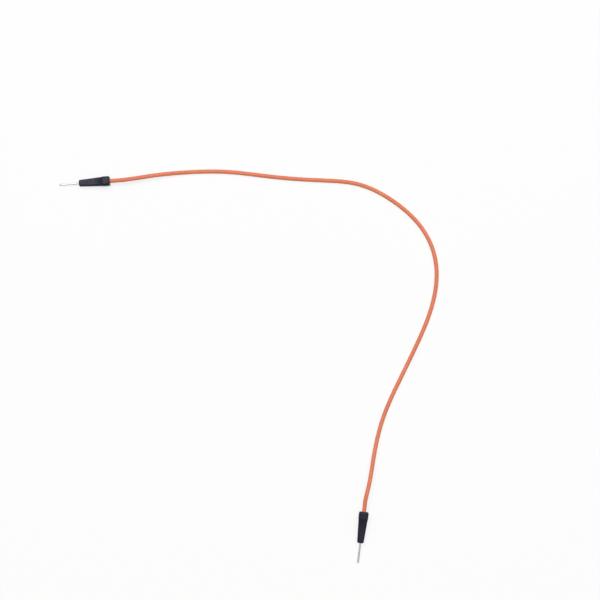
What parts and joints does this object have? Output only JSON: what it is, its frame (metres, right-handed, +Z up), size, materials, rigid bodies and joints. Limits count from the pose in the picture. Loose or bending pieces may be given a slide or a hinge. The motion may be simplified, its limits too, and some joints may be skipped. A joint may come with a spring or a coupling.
{
  "type": "breadboard jumper wire",
  "caption": "Flexible orange jumper wire with a moulded black plug and a round metal pin on each end, lying in a loose curve.",
  "frame": {"origin": "on the surface that the wire lies on, under the middle of the box round the two plugs and their pins", "axes": "+Z up from the surface; +Y along the long side of the box round the two plugs, from the plug that points along -Y towards the one that points along -X"},
  "size_m": [0.1268, 0.1311, 0.0033],
  "materials": {
    "insulation": "satin",
    "plug": "satin",
    "contact": "satin",
    "conductor": "satin"
  },
  "bodies": {
    "root": {"wire_insulation": "insulation", "plug_body_a": "plug", "plug_body_b": "plug", "contact_pin_a": "contact", "contact_pin_b": "contact", "strand_core": "conductor", "strand_lay_1": "conductor", "strand_lay_2": "conductor", "strand_lay_3": "conductor", "strand_lay_4": "conductor", "strand_lay_5": "conductor", "strand_lay_6": "conductor"}
  },
  "joints": []
}
